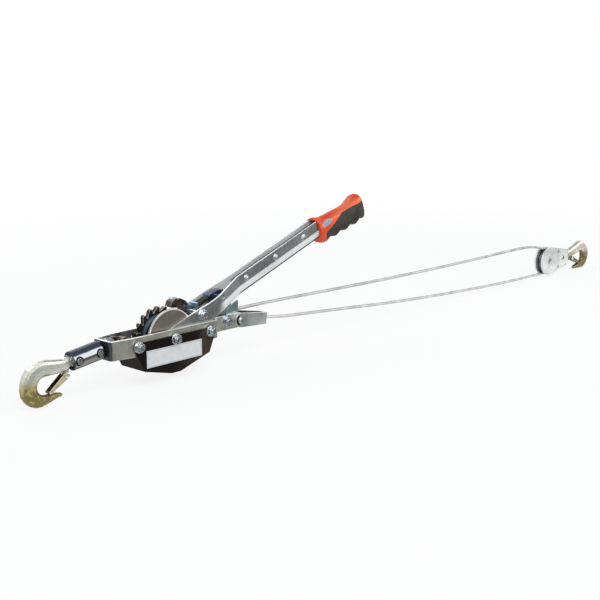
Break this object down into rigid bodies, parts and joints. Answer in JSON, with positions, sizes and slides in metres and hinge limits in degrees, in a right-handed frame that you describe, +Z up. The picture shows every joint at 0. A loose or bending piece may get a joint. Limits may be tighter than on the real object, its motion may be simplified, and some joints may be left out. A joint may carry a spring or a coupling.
{
  "type": "come along winch",
  "caption": "Lever-operated cable puller with a ratchet drum in a strap frame, a running block and safety hooks at both ends.",
  "frame": {"origin": "middle of the guard pan's flat bottom, straight under the drum axle", "axes": "+X along the wire rope towards the running block, +Y from the label side to the far side, +Z up"},
  "size_m": [1.3612, 0.0615, 0.2118],
  "materials": {
    "zinc": "bright zinc plate",
    "black": "gloss black paint",
    "label": "bare white face",
    "blue_zinc": "bluish zinc plate",
    "steel": "turned steel",
    "dark": "oiled dark steel",
    "drum": "plain steel",
    "chrome": "polished",
    "gold": "yellow zinc plate",
    "rope": "galvanised wire rope",
    "handle": "bright zinc plate",
    "orange": "moulded",
    "rubber": "moulded insert",
    "spring": "spring wire"
  },
  "bodies": {
    "frame": {"frame_strap": "zinc", "guard_pan": "black", "label_plate": "label", "guard_bolts": "blue_zinc", "flange_nuts": "blue_zinc", "spacer_sleeves": "steel", "drum_axle": "blue_zinc", "rear_bolt": "blue_zinc", "rear_nut": "blue_zinc", "rope_guide": "zinc", "anchor_pin": "blue_zinc", "swivel_washer": "blue_zinc", "holding_pawl_spring": "spring", "upper_rope": "rope", "lower_rope": "rope"},
    "anchor": {"anchor_bracket": "zinc", "rope_ferrule": "zinc", "rope_tail": "rope"},
    "swivel": {"swivel_eye": "blue_zinc", "swivel_nut": "blue_zinc"},
    "barrel": {"barrel_link": "chrome", "barrel_pins": "steel"},
    "front_hook": {"front_hook": "gold", "front_latch_rivet": "gold", "front_latch_spring": "spring"},
    "front_latch": {"front_latch": "gold"},
    "drum": {"drum_flange": "drum", "drum_core": "drum", "ratchet_wheel": "dark", "rope_coil": "rope"},
    "holding_pawl": {"holding_pawl": "dark"},
    "handle": {"handle_channel": "handle", "grip_shell": "orange", "grip_insert": "rubber", "drive_pawl_bolt": "blue_zinc", "drive_pawl_nut": "blue_zinc", "spring_post": "steel", "spring_seat": "steel", "drive_pawl_spring": "spring"},
    "drive_pawl": {"drive_pawl": "dark"},
    "block": {"near_cheek": "zinc", "far_cheek": "zinc", "sheave_pin": "zinc", "block_spacers": "zinc", "hook_pin": "zinc", "sheave_rope": "rope"},
    "sheave": {"sheave": "dark"},
    "rear_hook": {"rear_hook": "gold", "rear_latch_rivet": "gold", "rear_latch_spring": "spring"},
    "rear_latch": {"rear_latch": "gold"}
  },
  "joints": [
    {"name": "swivel", "type": "hinge", "parent": "frame", "child": "swivel", "pos_m": [-0.102, 0, 0.0455], "axis": [1, 0, 0], "continuous": true},
    {"name": "barrel_link", "type": "hinge", "parent": "swivel", "child": "barrel", "pos_m": [-0.113, 0, 0.0455], "axis": [0, -1, 0], "range_deg": [-21, 0]},
    {"name": "front_hook", "type": "hinge", "parent": "barrel", "child": "front_hook", "pos_m": [-0.14469, 0, 0.04105], "axis": [0, -1, 0], "range_deg": [-15, 15]},
    {"name": "front_latch", "type": "hinge", "parent": "front_hook", "child": "front_latch", "pos_m": [-0.15919, 0, 0.02505], "axis": [0, -1, 0], "range_deg": [-28, 0], "stiffness_Nm_per_rad": 0.04, "springref_deg": 14.32, "deforming": ["front_latch_spring"]},
    {"name": "drum_spin", "type": "hinge", "parent": "frame", "child": "drum", "pos_m": [0, 0, 0.0455], "axis": [0, -1, 0], "range_deg": [0, 4200]},
    {"name": "holding_pawl", "type": "hinge", "parent": "frame", "child": "holding_pawl", "pos_m": [-0.062, 0, 0.0455], "axis": [0, -1, 0], "range_deg": [-14, 0], "stiffness_Nm_per_rad": 0.06, "springref_deg": 20.05, "deforming": ["holding_pawl_spring"]},
    {"name": "handle", "type": "hinge", "parent": "frame", "child": "handle", "pos_m": [0, 0, 0.0455], "axis": [0, -1, 0], "range_deg": [0, 100]},
    {"name": "drive_pawl", "type": "hinge", "parent": "handle", "child": "drive_pawl", "pos_m": [0.05188, 0, 0.06949], "axis": [0, -1, 0], "range_deg": [-15, 7], "stiffness_Nm_per_rad": 0.08, "deforming": ["drive_pawl_spring"]},
    {"name": "anchor_bracket", "type": "hinge", "parent": "frame", "child": "anchor", "pos_m": [0.128, 0, 0.04775], "axis": [0, -1, 0], "range_deg": [-4, 4], "deforming": ["rope_tail"]},
    {"name": "block_travel", "type": "slide", "parent": "frame", "child": "block", "axis": [-1, 0, 0], "range_m": [0, 0.7], "deforming": ["upper_rope", "lower_rope"]},
    {"name": "sheave_spin", "type": "hinge", "parent": "block", "child": "sheave", "pos_m": [0.975, 0, 0.0225], "axis": [0, -1, 0], "range_deg": [0, 1700]},
    {"name": "rear_hook", "type": "hinge", "parent": "block", "child": "rear_hook", "pos_m": [1.0265, 0, 0.0225], "axis": [0, -1, 0], "range_deg": [-15, 25]},
    {"name": "rear_latch", "type": "hinge", "parent": "rear_hook", "child": "rear_latch", "pos_m": [1.07144, 0, 0.016], "axis": [0, -1, 0], "range_deg": [0, 28], "stiffness_Nm_per_rad": 0.04, "springref_deg": -14.32, "deforming": ["rear_latch_spring"]}
  ],
  "couplings": [
    {"joint": "block_travel", "follows": "drum_spin", "m_per_rad": 0.00945},
    {"joint": "sheave_spin", "follows": "drum_spin", "ratio": 0.39375}
  ]
}
